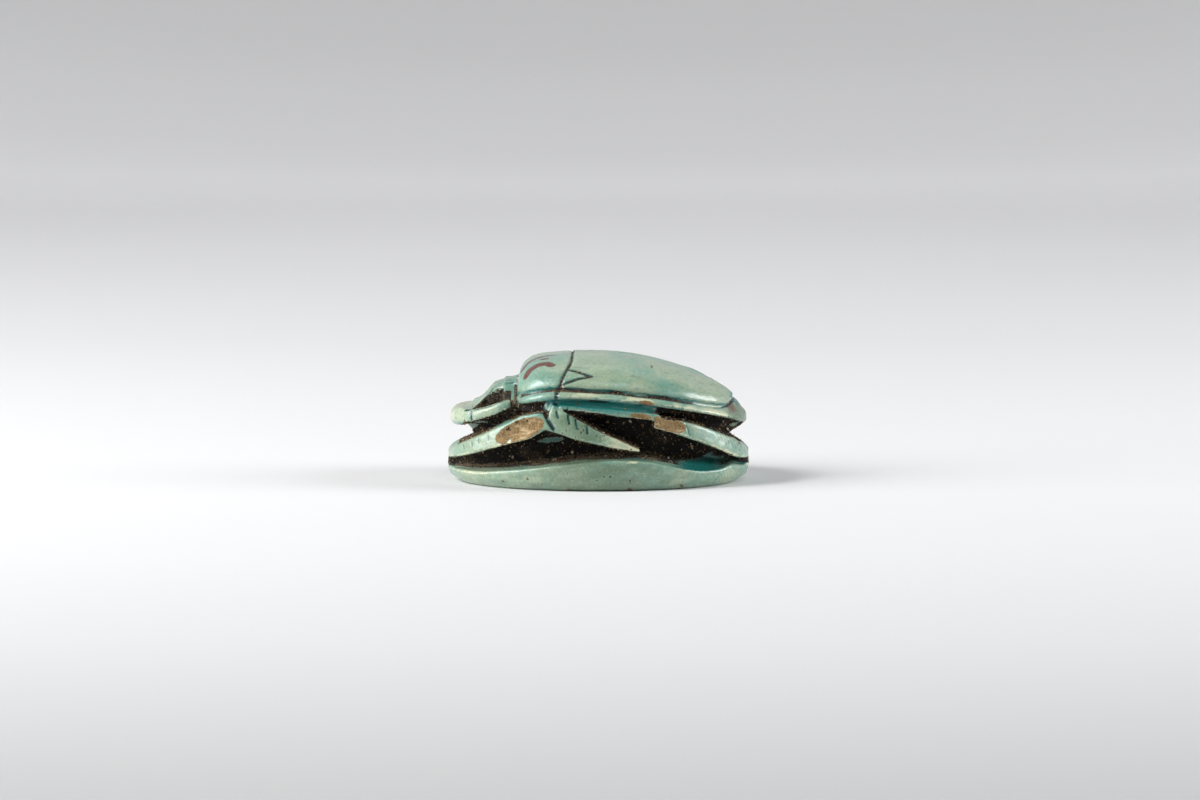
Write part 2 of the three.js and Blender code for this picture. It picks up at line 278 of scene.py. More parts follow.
class Carving:
    """The amulet as one solid, from the sizes in its panel."""

    def __init__(self, sizes):
        for name in CarvingSizes.__annotations__:
            setattr(self, name, getattr(sizes, name) / MM)

    def base_top(self, x):
        thin, thick = self.base_thinnest, self.base_thickest
        fore = thin + (thick - thin) * (1 - ease((1.5 - x) / 11))
        aft = thin + 0.18 + (thick - thin - 0.18) * (1 - ease((x - 2) / 5.3)) + 0.2 * bell((x - 8.75) / 0.5)
        return np.where(x < 1.5, fore, aft)

    def base(self, x, y, z):
        wall = oval(x, y, self.half_length - 0.02 - 0.3 * clamp01(1.3 - z) ** 2, self.half_width)
        inward = clamp01(-wall / 2.6)
        top = self.base_top(x) + 0.15 * inward + 0.5 * ease(inward) * bell((x - 6.5) / 2.4)
        slab = rounded(wall, -z, BASE_EDGE)
        return rounded(slab, z - top, 0.1)

    def core(self, x, y, z):
        """The body between the legs, and the two bridges that tie the legs' ends to the base."""
        waist = bell((z - WAIST_Z) / 0.5)
        slot = 0.35 * bell((z - 1.6) / 0.5)
        head = 9.86 - 1.4 * np.where(z < WAIST_Z, waist, 1) - slot
        tail = 9.86 - 0.98 * waist - 1.9 * clamp01((z - 4.4) / 1.2) ** 2 - slot
        wall = oval(x, y, np.where(x < 0, head, tail), CORE_HALF_WIDTH)
        ends = np.maximum(oval(x, y, 9.93, 6.9), np.maximum(z - 2.0, 1.25 - z))
        bridges = rounded(np.abs(y) - 1.0, ends, 0.3)
        top = z - 4.5 - 1.1 * ease((x + 6.2) / 0.8)
        return np.maximum(join(wall, bridges, 0.8), np.maximum(0.5 - z, top))

    def leg_oval(self, z):
        """Half length and half width of the wall that the legs' outer faces lie on: it leans in above."""
        share = clamp01((z - LEG_FOOT) / LEG_HEIGHT)
        return self.half_length - 0.03 - 0.3 * share, 7.0 - 0.55 * share

    def leg_wall(self, x, y, z):
        return oval(x, y, *self.leg_oval(z))

    def legs(self, x, y, z):
        """Each leg is a bar in the side view, cut off by the wall. The far legs' ends hang lower."""
        z = z + 0.3 * ease((y + 0.5) / 2.5) * ease((np.abs(x) - 7.2) / 1.6)
        swell = lambda t: np.minimum(1.1 + 2.2 * t, 1.78 - 1.22 * t)
        front = bar(x, z, (-3.35, 4.62), (-10.4, 1.66), swell, 0.05)
        middle = bar(x, z, (-3.3, 4.84), (2.65, 2.6), lambda t: 1.78 - 1.61 * t, -0.13, 0.1)
        thigh = bar(x, z, (-2.6, 5.45), (3.95, 4.72), lambda t: 0.3 + 0.16 * t, 0.05)
        taper = lambda t: 0.7 + 0.3 * clamp01(t * 3) - 0.6 * clamp01((t - 0.8) / 0.2)
        shin = bar(x, z, (3.62, 4.42), (10.3, 1.5), taper, 0.42)
        wall = self.leg_wall(x, y, z)
        # The front and middle legs are bevelled above. The flank under the rim is set a little back.
        bevel = wall + 0.9 * (z - 6.05 + 0.47 * np.abs(x + 2.9) - 0.05 * x)
        bent = meet(rounded(join(front, middle, 0.08), wall, 0.14), bevel, 0.15)
        flank = bar(x, z, (-3.6, 5.45), (3.9, 5.3), lambda t: 1.1 - 0.45 * t, 0.0, 0.5)
        body = join(rounded(join(thigh, shin, 0.12), wall, 0.14), meet(flank, wall + 0.38, 0.3), 0.15)
        return join(bent, body, 0.12)

    def crest_height(self, x):
        """The back along its middle line: level over the thorax, then falling ever more steeply."""
        run = clamp01((x + 0.5) / 10.35)
        wings = 4.3 + (self.crest - 4.3) * (1 - run**1.9) ** 0.6
        return np.where(x < DIVISION_X, self.crest - 0.04, wings)

    def dome(self, x, y, z):
        """Thorax and wing cases over the groove, as a form that is 0 on the surface."""
        foot = groove_height(x, y)
        up = np.maximum(z - foot, 0) / np.maximum(self.crest_height(x) - foot, 0.05)
        long = np.minimum((x / DOME[0]) ** 2, 1.2)
        wings = np.sqrt(up**2 * np.maximum(1 - long, 0) + (y / DOME[1]) ** 2 + long)
        out = (y / DOME[1]) ** 2 / np.maximum(1 - long, 0.3)
        corner = SHIELD_CORNER + 4 * out / (out + up**2 + 0.01)
        thorax = ((np.maximum(-x, 0) / -NECK_X) ** corner + (out + up**2) ** (corner / 2)) ** (1 / corner)
        return np.where(x < 0, thorax, np.maximum(wings, up)) - 1

    def on_back(self, x, y):
        """The point of the back over one spot, found by halving."""
        low, high = 5.0, self.crest + 0.2
        for _ in range(20):
            middle = (low + high) / 2
            inside = self.dome(np.array(float(x)), np.array(float(y)), middle) < 0
            low, high = (middle, high) if inside else (low, middle)
        return (float(x), float(y), low)

    def back(self, x, y, z):
        """The dome, the rim round its foot, the skirt that ties them to the body, and the groove between."""
        dome = np.maximum(as_distance(self.dome, x, y, z), 5 - z)
        foot = groove_height(x, y)
        edge = rim_height(x)
        out = shield_wall(x, y, DOME)
        under = edge - self.rim_thickness - 0.12 * bell((x + 3.4) / 1.2) - 0.15 * ease((x - 8.6) / 0.7)
        top = foot - 0.06 - (foot - edge + 0.22) * clamp01(out / 0.8) ** 2
        rim = rounded(shield_wall(x, y, RIM), np.maximum(z - top, under - z), 0.2)
        skirt = np.maximum(out + 0.5, np.maximum(4.9 - z, z - foot))
        channel = np.hypot(out - 0.05, z - foot - 0.02) - 0.16 + 0.09 * ease((x - 7.8) / 0.8)
        return cut(join(join(dome, rim, 0.05), skirt, 0.15), channel, 0.1)

    def eye(self, x, y):
        """The wedge between the ridged block and the cheek, in plan; it is widest at the neck."""
        return np.maximum(2.95 - 0.55 * (x + 8.5) - np.abs(y), np.abs(y) - 3.0 - 0.28 * (x + 8.5))

    def head(self, x, y, z):
        """The curved head plate with its two wedges, the ridged block, the neck and the throat."""
        u = x + 9.83
        middle = 4.3 + 0.13 * u + 0.035 * u * u
        thick = 0.78 + 0.42 * bell((u - 0.4) / 0.9)
        plan = np.maximum(oval(x + 6.1, y, 3.75, 4.35), x + 5.75)
        plate = rounded(plan, np.abs(z - middle) - thick / 2, 0.27 + 0.17 * bell(u / 1.2))
        plate = cut(plate, np.maximum(self.eye(x, y), middle + thick / 2 - 0.24 - z), 0.1)
        stations = [-9.6, -9.2, -8.6, -7.9, -7.45, -7.2, -6.95, -6.6, -5.4]
        top = np.interp(x, stations, [4.6, 4.78, 4.98, 5.46, 5.84, 6.16, 6.42, 6.54, 6.9])
        half = np.interp(x, stations, [2.2, 2.5, 2.8, 2.45, 2.15, 2.12, 2.15, 2.15, 2.35])
        ridge = rounded(np.abs(y) - half, z - top + 0.03 * y * y - 0.06, 0.25)
        ridge = np.maximum(ridge, np.maximum(np.abs(x + 7.4) - 2.1, 4.3 - z))
        neck = meet(np.abs(y) - 3.6, z - 6.75 + 0.75 * np.maximum(np.abs(y) - 1.9, 0), 0.3)
        neck = np.maximum(neck, np.maximum(np.abs(x - NECK_X) - 0.9, 4.3 - z))
        throat = np.maximum(oval(x, y, 8.9, 3.2) + 0.45 * np.abs(z - 4.0), np.abs(z - 4.2) - 1.2)
        return join(join(join(plate, ridge, 0.12), neck, 0.1), throat, 0.25)

    def chips(self, x, y, z):
        """Breaks, on the near side only."""
        leg, rim = self.leg_wall(x, y, z), oval(x, y, *RIM)
        foot = oval(x, y, self.half_length, self.half_width)
        breaks = (
            (leg, (-5.12, 3.84), (1.72, 0.68), 0.2, 24), (leg, (4.6, 4.28), (1.1, 0.5), 0.16, -16),
            (rim, (3.1, 5.66), (0.5, 0.2), 0.14, -8), (leg, (2.75, 4.82), (0.6, 0.2), 0.12, -8),
            (rim, (8.85, 4.95), (0.3, 0.22), 0.1, -30), (foot, (-1.85, 0.05), (0.3, 0.14), 0.12, 0),
            (foot, (2.05, 0.08), (0.36, 0.16), 0.14, 20),
        )
        return np.maximum(np.minimum.reduce([flake(x, z, *one) for one in breaks]), y)

    def solid(self, x, y, z):
        """The whole amulet, before its lines are cut, with the slight unevenness of hand work."""
        whole = join(self.base(x, y, z), self.core(x, y, z), 0.35)
        whole = join(whole, self.legs(x, y, z), 0.1)
        whole = join(whole, self.head(x, y, z), 0.2)
        whole = join(whole, self.back(x, y, z), 0.08)
        whole = cut(whole, np.hypot(y, z - WAIST_Z) - self.cord_hole, 0.2)
        rough = 0.03 * waves(x, y, z, 0.5, 3)
        whole = cut(whole, self.chips(x, y, z) + rough, 0.04)
        return whole + 0.018 * waves(x, y, z, 2.4, 5) * ease(z / 0.8) + 0.006 * waves(x, y, z, 0.7, 8)


# ---- From a solid to a mesh ----


def surface_net(values):
    """The mesh where values pass through 0: a point in each crossed cell, a face round each crossed edge."""
    shape = np.array(values.shape)
    strides = np.array([shape[1] * shape[2], shape[2], 1])
    inside = (values < 0).ravel()
    flat = values.ravel()
    total = np.zeros((values.size, 3))
    count = np.zeros(values.size)
    rings = []
    for axis in range(3):
        grid = np.indices(tuple(shape - (np.arange(3) == axis))).reshape(3, -1)
        first = strides @ grid
        crossed = inside[first] != inside[first + strides[axis]]
        first, grid = first[crossed], grid[:, crossed].T.astype(float)
        here, there = flat[first], flat[first + strides[axis]]
        grid[:, axis] += here / (here - there)
        side, up = strides[(axis + 1) % 3], strides[(axis + 2) % 3]
        ring = np.stack([first - side - up, first - up, first, first - side])
        for cell in ring:
            count += np.bincount(cell, minlength=values.size)
            for i in range(3):
                total[:, i] += np.bincount(cell, grid[:, i], minlength=values.size)
        rings.append(np.where(here < 0, ring, ring[::-1]).T)
    used = count > 0
    number = np.cumsum(used) - 1
    return total[used] / count[used, None], number[np.concatenate(rings)]


def fill_checkers(values, depth=0.001):
    """Fills each grid square whose corners lie in and out by turns, so that no mesh edge has four faces."""
    found = True
    while found:
        found = False
        for axis in range(3):
            layers = np.moveaxis(values, axis, 0)
            corners = [layers[:, :-1, :-1], layers[:, 1:, :-1], layers[:, 1:, 1:], layers[:, :-1, 1:]]
            a, b, c, d = (corner < 0 for corner in corners)
            checker = (a == c) & (b == d) & (a != b)
            found = found or checker.any()
            for corner in corners:
                corner[checker & (corner >= 0)] = -depth


def slope_of(form, points, step=0.01):
    """The form's value and its slope at each point."""
    x, y, z = points.T
    here = form(x, y, z)
    there = [form(x + step, y, z), form(x, y + step, z), form(x, y, z + step)]
    return here, np.stack([(t - here) / step for t in there], axis=1)


def largest_shell(points, faces):
    """Drops the specks that float free of the main surface."""
    label = np.arange(len(points))
    while True:
        lowest = label[faces].min(axis=1)
        spread = label.copy()
        for corner in range(faces.shape[1]):
            np.minimum.at(spread, faces[:, corner], lowest)
        spread = spread[spread]
        if (spread == label).all():
            break
        label = spread
    main = np.bincount(label).argmax()
    faces = faces[label[faces[:, 0]] == main]
    used, faces = np.unique(faces, return_inverse=True)
    return points[used], faces.reshape(-1, 4)


def skin_of(form, low, high, step):
    """Points and faces of the form's surface, with each point drawn onto it."""
    axes = [np.arange(a, b + step, step) for a, b in zip(low, high)]
    grid = [a.reshape([-1 if i == j else 1 for j in range(3)]) for i, a in enumerate(axes)]
    values = form(*grid).astype(np.float32)
    fill_checkers(values)
    points, faces = surface_net(values)
    points = points * step + np.array(low)
    points, faces = largest_shell(points, faces)
    for _ in range(3):
        here, slope = slope_of(form, points)
        move = here / np.maximum((slope**2).sum(axis=1), 0.2)
        points -= np.clip(move, -0.1, 0.1)[:, None] * slope
    return points, faces


# ---- Lines cut in the surface ----


def nearest(points, line):
    """Distance from each point to a line through some points."""
    best = np.full(len(points), 1e9)
    for a, b in zip(np.array(line, float), np.array(line[1:], float)):
        t = clamp01((points - a) @ (b - a) / ((b - a) @ (b - a)))
        best = np.minimum(best, np.linalg.norm(points - a - t[:, None] * (b - a), axis=1))
    return best


class Strokes:
    """Every cut line: what it follows, its half width, its depth and how much glaze has pooled in it."""

    def __init__(self, carving):
        self.carving = carving
        self.all = []
        self.back_lines()
        self.head_lines()
        self.leg_lines()

    def on_legs(self, *spots):
        """Points of the legs' outer wall, from where they lie in the side view."""
        reached = [(x, z, *self.carving.leg_oval(z)) for x, z in spots]
        return [(x, wide * math.sqrt(max(1 - (x / long) ** 2, 0)), z) for x, z, long, wide in reached]

    def add(self, line, half_width, depth, teal=1.0, soil=0.0):
        self.all.append((line, half_width, depth, teal, soil))

    def back_lines(self):
        deep = self.carving.line_depth
        steps = [5.62 * math.sin(math.radians(a)) for a in range(0, 85, 7)]
        division = [self.carving.on_back(float(division_x(y)), y) for y in steps]
        self.add(division, 0.11, deep, 0.6, 0.75)
        over_rim = [
            (-2.68, 5.7, 6.45), (-2.72, 6.1, 6.38), (-2.74, 6.24, 6.1), (-2.76, 6.2, 5.85), (-2.8, 5.9, 5.6),
        ]
        self.add(over_rim, 0.1, 0.1, 1.0, 0.35)
        self.add([self.carving.on_back(x, 0) for x in np.arange(DIVISION_X, 8.9, 0.5)], 0.08, 0.8 * deep, 0.7)
        # The small V at the shoulder of each wing case.
        for y in (4.45, 5.46):
            spots = ((float(division_x(y)), y), (-1.3, (y + 5.2) / 2), (-0.45, 5.2))
            self.add([self.carving.on_back(*spot) for spot in spots], 0.09, 0.9 * deep, 0.8, 0.7)

    def head_lines(self):
        for y, side in ((0.45, 0.0), (1.05, 0.02), (1.6, 0.06), (2.0, 0.2)):
            ridge = [(-7.4, y, 5.95), (-6.95, y, 6.42), (-6.3, y, 6.6), (-5.6, y * 1.06, 6.84)]
            self.add([(a, b, c - side) for a, b, c in ridge], 0.1, 0.17, 0.8, 0.12)
        inner = [(-8.7, 2.85, 4.93), (-8.1, 3.05, 5.03), (-7.2, 3.25, 5.25), (-6.2, 3.62, 5.58)]
        self.add(inner, 0.1, 0.12, 0.9, 0.5)
        self.add([(-8.15, 3.45, 5.02), (-7.2, 3.92, 5.28), (-6.0, 4.12, 5.68)], 0.06, 0.07, 0.9)
        self.add([(-8.45, 3.32, 4.95), (-8.42, 3.5, 4.6), (-8.35, 3.5, 4.3)], 0.07, 0.12, 0.9, 0.2)

    def leg_lines(self):
        for x, top, foot in ((-2.75, 5.2, 4.75), (-2.0, 4.95, 4.4), (-1.5, 4.7, 4.1), (-0.8, 4.3, 3.75)):
            self.add(self.on_legs((x, top), (x + 0.06, (top + foot) / 2), (x + 0.1, foot)), 0.055, 0.09, 0.85)
        for x, top, foot in ((-7.25, 3.5, 3.1), (-7.9, 3.15, 2.85), (-8.35, 2.95, 2.65), (-8.9, 2.65, 2.4)):
            self.add(self.on_legs((x, top), (x + 0.05, foot)), 0.045, 0.05, 0.7)
        for i in range(9):
            x = 7.75 + 0.235 * i
            top = 3.62 - 0.62 * (x - 7.75) ** 1.15
            self.add(self.on_legs((x, top), (x + 0.2, top - 0.6)), 0.045, 0.05, 0.5)
        self.add(self.on_legs((5.65, 4.45), (5.95, 3.5)), 0.05, 0.05, 0.5)
        self.add(self.on_legs((-3.45, 5.2), (-3.3, 4.6), (-2.9, 4.0)), 0.1, 0.12, 0.9)

    def lay(self, points):
        """How deep the lines are cut at each point, and the glaze and the dirt that they hold."""
        mirrored = points * np.array([1, 0, 1]) + np.abs(points) * np.array([0, 1, 0])
        depth, teal, soil = (np.zeros(len(points)) for _ in range(3))
        for line, half_width, cut_depth, pooled, packed in self.all:
            away = nearest(mirrored, line) / half_width
            depth = np.maximum(depth, cut_depth * bell(away))
            teal = np.maximum(teal, pooled * bell(away / 1.7))
            soil = np.maximum(soil, packed * bell(away / 1.1))
        return depth, teal, soil


def dabs(carving, points):
    """Worn brush dabs on the near side of the thorax, from 0 to 1: two bowed strokes and a dot."""
    lower = [(-4.75, -3.8), (-4.5, -3.55), (-4.0, -3.35), (-3.4, -3.35), (-3.1, -3.7)]
    upper = [(-5.0, -2.6), (-4.6, -2.1), (-4.1, -1.75), (-3.5, -1.5), (-3.05, -1.5)]
    dot = [(-3.65, -2.4), (-3.4, -2.4)]
    paint = 0
    for line, half_width in ((lower, 0.3), (upper, 0.24), (dot, 0.18)):
        away = nearest(points, [carving.on_back(*spot) for spot in line])
        paint = np.maximum(paint, 1 - ease(away / half_width - 0.5))
    return paint


# ---- Pieces ----


def stains(points):
    """Small rusty and tan spots on the tail, the rim, the legs and the base, stronger in the middle."""
    spots = (
        (8.8, 4.95, 0.34), (9.45, 5.2, 0.26), (8.75, 3.85, 0.12), (3.5, 7.8, 0.11), (3.1, 5.62, 0.2),
        (-1.35, 5.6, 0.1), (-1.85, 0.05, 0.2), (2.05, 0.08, 0.22), (-4.6, 0.75, 0.1), (-6.2, 0.5, 0.1),
        (8.3, 4.1, 0.12), (9.3, 2.7, 0.14), (5.4, 0.25, 0.16), (-8.3, 5.1, 0.08),
    )
    x, y, z = points.T
    near = [bell(np.hypot(x - px + 0.4 * (z - pz), z - pz) / size) for px, pz, size in spots]
    return np.maximum.reduce(near) * ease((1.2 - y) / 1.2)


def placed(name, data):
    """A mesh, a light or a camera as an object in the scene."""
    thing = bpy.data.objects.new(name, data)
    bpy.context.scene.collection.objects.link(thing)
    return thing


def mesh_of(name, points, faces):
    """A smooth mesh as an object at the origin, from points in metres."""
    mesh = bpy.data.meshes.new(name)
    mesh.from_pydata(points, [], faces)
    mesh.validate()
    mesh.shade_smooth()
    return placed(name, mesh)


def glazed_hollows(x, z, side, inward, uneven):
    """Where glaze shows among the dirt: the flank, the scoop over the base behind, and a sliver ahead."""
    flank = bell((z - 5.5 + 0.07 * x) / 0.45) * ease((3.9 - x) / 0.4) * ease((x + 3.9) / 0.8)
    flank = flank * ease((0.85 - inward) / 0.25)
    outside = ease((np.hypot(x / 10, side / 7.1) - 0.72) / 0.12)
    scoop = bell((x - 6.6) / 2.1) * ease((2.3 - z + 0.15 * uneven) / 0.6) * outside
    sliver = 2.2 * bell((x + 3.1) / 1.3) * bell((z - 3.02 - 0.12 * (x + 3.1)) / 0.3)
    return flank, scoop, ease(sliver - 0.8 + 0.25 * uneven)


def beside_block(x, z, side, up, uneven):
    """Dirt in the wedge by the eye, packed higher towards the neck."""
    packed_to = np.interp(x, (-8.5, -8.1, -7.3, -6.5, -5.4), (4.85, 5.25, 5.85, 6.1, 6.3))
    wedge = ease((packed_to - z + 0.04 * uneven) / 0.12) * ease((side - 1.9) / 0.15) * ease((x + 8.5) / 0.2)
    return wedge * ease((3.1 + 0.28 * (x + 8.5) - side) / 0.12) * ease((up + 0.15) / 0.15)


def worn(edges, x, z, on_base):
    """The worn edges, and the middle leg and both ends of the base, rubbed pale. The front of the head is
    made pale as well, partly worn glaze and partly painted highlight.
    """
    wear_and_highlight = edges * (1 - 0.8 * ease((x - 8.3) / 0.5) * ease((z - 3.3) / 0.3))
    wear_and_highlight = wear_and_highlight + 0.7 * bell((x - 1.4) / 1.5) * ease((z - 2.3) / 0.2) * ease((4.6 - z) / 0.3)
    # Painted highlight, with some wear: the whole front of the head made paler.
    wear_and_highlight = wear_and_highlight + (0.4 * ease((-6.0 - x) / 0.5) + 0.25 * ease((-8.4 - x) / 0.7)) * ease((z - 3.9) / 0.3)
    return wear_and_highlight + 0.55 * on_base * bell((x - 8.4) / 1.4) + 0.3 * on_base * bell((x + 8.0) / 1.6)


def in_painted_shade(x, z, on_base, uneven):
    """Painted shade on the middle of the base, on the middle leg under the rim and on the tail, drawn as a
    dull darker coat.
    """
    # Painted shade: the middle of the base made darker where it faces away from the lamps.
    painted_shade = on_base * (0.75 * bell((x - 0.2) / 5.2) + 0.12 * ease((x - 8.6) / 0.8))
    # Painted shade under the rim, over the middle leg.
    painted_shade = painted_shade + 0.8 * bell((x + 1.2) / 2.4) * (1 - on_base) * ease((5.2 - z) / 0.4)
    # Painted shade on the tail, where it turns down towards the hollow.
    painted_shade = painted_shade + 1.1 * bell((x - 9.3) / 0.8) * ease((5.4 - z) / 0.4) * ease((z - 3.3) / 0.3)
    return painted_shade + 0.12 * uneven


def aged(carving, points, normals, line_teal, line_soil):
    """What the years left at each point, with painted shade and a painted highlight, from 0 to 1, by the
    names that the material reads.
    """
    x, y, z = points.T
    side, up = np.abs(y), normals[:, 2]

    def shut_in(reaches, way=1):
        """How near other stone comes in front of a point. Where way is -1: how thin it is behind it."""
        near = (np.maximum(d - way * carving.solid(*(points + way * normals * d).T), 0) / d for d in reaches)
        return sum(near) / len(reaches)

    close, wide, thin = shut_in((0.12, 0.3)), shut_in((0.5, 1.0, 1.8)), shut_in((0.12, 0.3), -1)
    uneven = waves(x, y, z, 1.1, 21)
    inward = -carving.leg_wall(x, y, z)
    on_base = ease((carving.base_top(x) - z) / 0.3)
    on_dome = ease((z - groove_height(x, y) - 0.2) / 0.2)
    over_base = ease((z - carving.base_top(x) - 0.02) / 0.12)
    under_rim = ease((rim_height(x) - carving.rim_thickness - z + 0.05) / 0.15)
    flank, scoop, sliver = glazed_hollows(x, z, side, inward, uneven)
    # Dirt is packed in the slots over and under the legs, at both ends, by the eyes and under the head.
    start = 0.5 - 0.4 * ease((np.abs(x) - 8.7) / 0.6)
    deep = np.maximum(ease((inward - start + 0.12 * uneven) / 0.5), ease((wide - 0.42) / 0.1))
    ends = ease((np.abs(x) - 9.25) / 0.25) * over_base * ease((1.65 - z) / 0.15)
    deep = np.maximum(deep * under_rim * over_base, ends)
    head = ease((-5.6 - x) / 0.3) * ease((z - 3.7) / 0.3)
    wedge = beside_block(x, z, side, up, uneven)
    below = ease((0.15 - up) / 0.3) * ease((wide - 0.12) / 0.2) * ease((x + 9.2) / 0.3)
    deep = deep * (1 - head) + head * np.maximum(wedge, below)
    deep = deep * (1 - 0.9 * flank) * (1 - 0.92 * scoop) * (1 - 0.85 * sliver * under_rim)
    # It lies thinner and drier on top of the legs, at the neck and in the groove over the rim.
    leg_tops = ease((inward - 0.1) / 0.15) * ease((up - 0.35) / 0.3) * ease((wide - 0.1) / 0.1)
    leg_tops = leg_tops * under_rim * over_base * (1 - head) * ease((4.5 - x) / 1.0)
    neck = bell((x + 5.55) / 0.26) * ease((z - 4.4) / 0.4) * ease((close - 0.02) / 0.1)
    groove = np.hypot(shield_wall(x, y, DOME) - 0.05, z - groove_height(x, y) + 0.05)
    at_tail = ease((x - 5.5) / 2.0)
    groove = (1 - ease((groove - 0.12 + 0.1 * at_tail - 0.03 * uneven) / 0.15)) * ease((x + 5.3) / 0.4)
    line_teal = np.maximum(line_teal, groove)
    line_soil = np.maximum(line_soil, (0.68 - 0.2 * at_tail) * groove)
    drifts = 0.5 * deep * ease((waves(x, y, z, 2.4, 33) + 0.3 * uneven - 0.35) / 0.9)
    shoulder = bell((x + 3.75) / 0.4) * bell((z - 5.25) / 0.4)
    leg_soil = 0.75 * leg_tops * (1 - scoop) * (1 - flank)
    soil = np.maximum.reduce([0.6 * shoulder, deep, leg_soil, 0.85 * neck, line_soil])
    # Glaze ran down into the recesses. Under the rim, the faces turned down are painted teal as painted
    # shade.
    shade_under_rim = ease((0.05 - up) / 0.5) * ease((z - rim_height(x) + carving.rim_thickness + 0.35) / 0.2)
    shade_under_rim = shade_under_rim * ease((0.3 - wide) / 0.2) * ease((x + 5.2) / 0.3) * ease((6.6 - x) / 1.5)
    teal = np.maximum(0.8 * ease((close - 0.12) / 0.35) * (1 - on_dome), 0.65 * shade_under_rim)
    pools = [shoulder, line_teal, 0.8 * flank, 0.55 * sliver, 0.85 * scoop * ease(wide / 0.15)]
    edges = ease((thin - 0.2 + 0.05 * uneven) / 0.35) * (1 - deep) * (1 - shade_under_rim) * (1 - on_dome)
    values = {
        "soil": soil * (0.9 + 0.15 * uneven),
        "dust": np.maximum.reduce([neck, leg_tops, line_soil, 0.55 * head * wedge, drifts]),
        "teal": np.maximum.reduce([teal, *pools]),
        "line": line_teal,
        # Pale wear, and a painted highlight on the front of the head.
        "wear_and_highlight": worn(edges, x, z, on_base),
        # Painted shade, as a dull darker coat of glaze.
        "painted_shade": in_painted_shade(x, z, on_base, uneven),
        "bare": 1 - ease((carving.chips(x, y, z) - 0.035) / 0.03),
        "paint": dabs(carving, points),
        "stain": stains(points),
    }
    return {name: clamp01(value) for name, value in values.items()}


def make_scarab(sizes):
    carving = Carving(sizes)
    long, wide, high = (size + 0.3 for size in (carving.half_length, carving.half_width, carving.crest))
    points, faces = skin_of(carving.solid, (-long, -wide, -0.3), (long, wide, high), carving.grain)
    _, slope = slope_of(carving.solid, points)
    normals = slope / np.linalg.norm(slope, axis=1)[:, None]
    depth, teal, soil = Strokes(carving).lay(points)
    values = aged(carving, points, normals, teal, soil)
    box_low, box_high = np.array(SOLID_BOX) / MM
    points = np.clip(points - normals * depth[:, None], box_low, box_high)
    piece = mesh_of("carved_scarab", (points * MM).tolist(), faces.tolist())
    for name, value in values.items():
        kept = piece.data.attributes.new(name, "FLOAT", "POINT")
        kept.data.foreach_set("value", value.astype(np.float32))
    return piece


# ---- Materials ----


def add(tree, kind, settings=None, inputs=None):
    """Adds a node with its settings. An input is a value, or another node's socket to link."""
    node = tree.nodes.new(kind)
    for name, value in (settings or {}).items():
        setattr(node, name, value)
    for name, value in (inputs or {}).items():
        if isinstance(value, bpy.types.NodeSocket):
            tree.links.new(value, node.inputs[name])
        else:
            node.inputs[name].default_value = value
    return node


def new_material(name):
    material = bpy.data.materials.new(name)
    material.use_nodes = True
    material.node_tree.nodes.clear()
    return material, material.node_tree


def surface(tree, inputs):
    """Ends a material: its shader with these inputs, and the output."""
    shader = add(tree, "ShaderNodeBsdfPrincipled", None, inputs)
    add(tree, "ShaderNodeOutputMaterial", None, {"Surface": shader.outputs[0]})


def fill_ramp(ramp, stops):
    """Gives a colour ramp its stops, each a position and a linear colour."""
    for position, _ in stops[1:-1]:
        ramp.color_ramp.elements.new(position)
    for element, (position, tone) in zip(ramp.color_ramp.elements, stops):
        element.position, element.color = position, (*tone, 1)


def shaded(tone, *shares):
    """A linear colour with each channel brought down to a share of itself."""
    return (*(channel * share for channel, share in zip(tone, shares)), 1)


def coats(tree, tint, layers):
    """Lays coats over a colour. Returns the colour that comes out, and how much of each coat shows.

    A coat shows, up to its most, where its value and a share of a pattern rise from low to high.
    """
    shown = {}
    for name, value, pattern, share, low, high, tone, most in layers:
        if pattern:
            broken = {0: pattern, 1: share, 2: value}
            value = add(tree, "ShaderNodeMath", {"operation": "MULTIPLY_ADD"}, broken).outputs[0]
        rise = {"Value": value, "From Min": low, "From Max": high, "To Max": most}
        shown[name] = add(tree, "ShaderNodeMapRange", {"interpolation_type": "SMOOTHSTEP"}, rise).outputs[0]
        mixed = {0: shown[name], 6: tint, 7: tone}
        tint = add(tree, "ShaderNodeMix", {"data_type": "RGBA"}, mixed).outputs[2]
    return tint, shown


def relief(tree, depth_mm, height, *others):
    """A bumped normal: a pattern of heights with shares of others added, this many millimetres deep."""
    for pattern, share in others:
        added = {0: pattern, 1: share, 2: height}
        height = add(tree, "ShaderNodeMath", {"operation": "MULTIPLY_ADD"}, added).outputs[0]
    bump = {"Strength": 0.5, "Distance": depth_mm * MM, "Height": height}
    return add(tree, "ShaderNodeBump", None, bump).outputs[0]


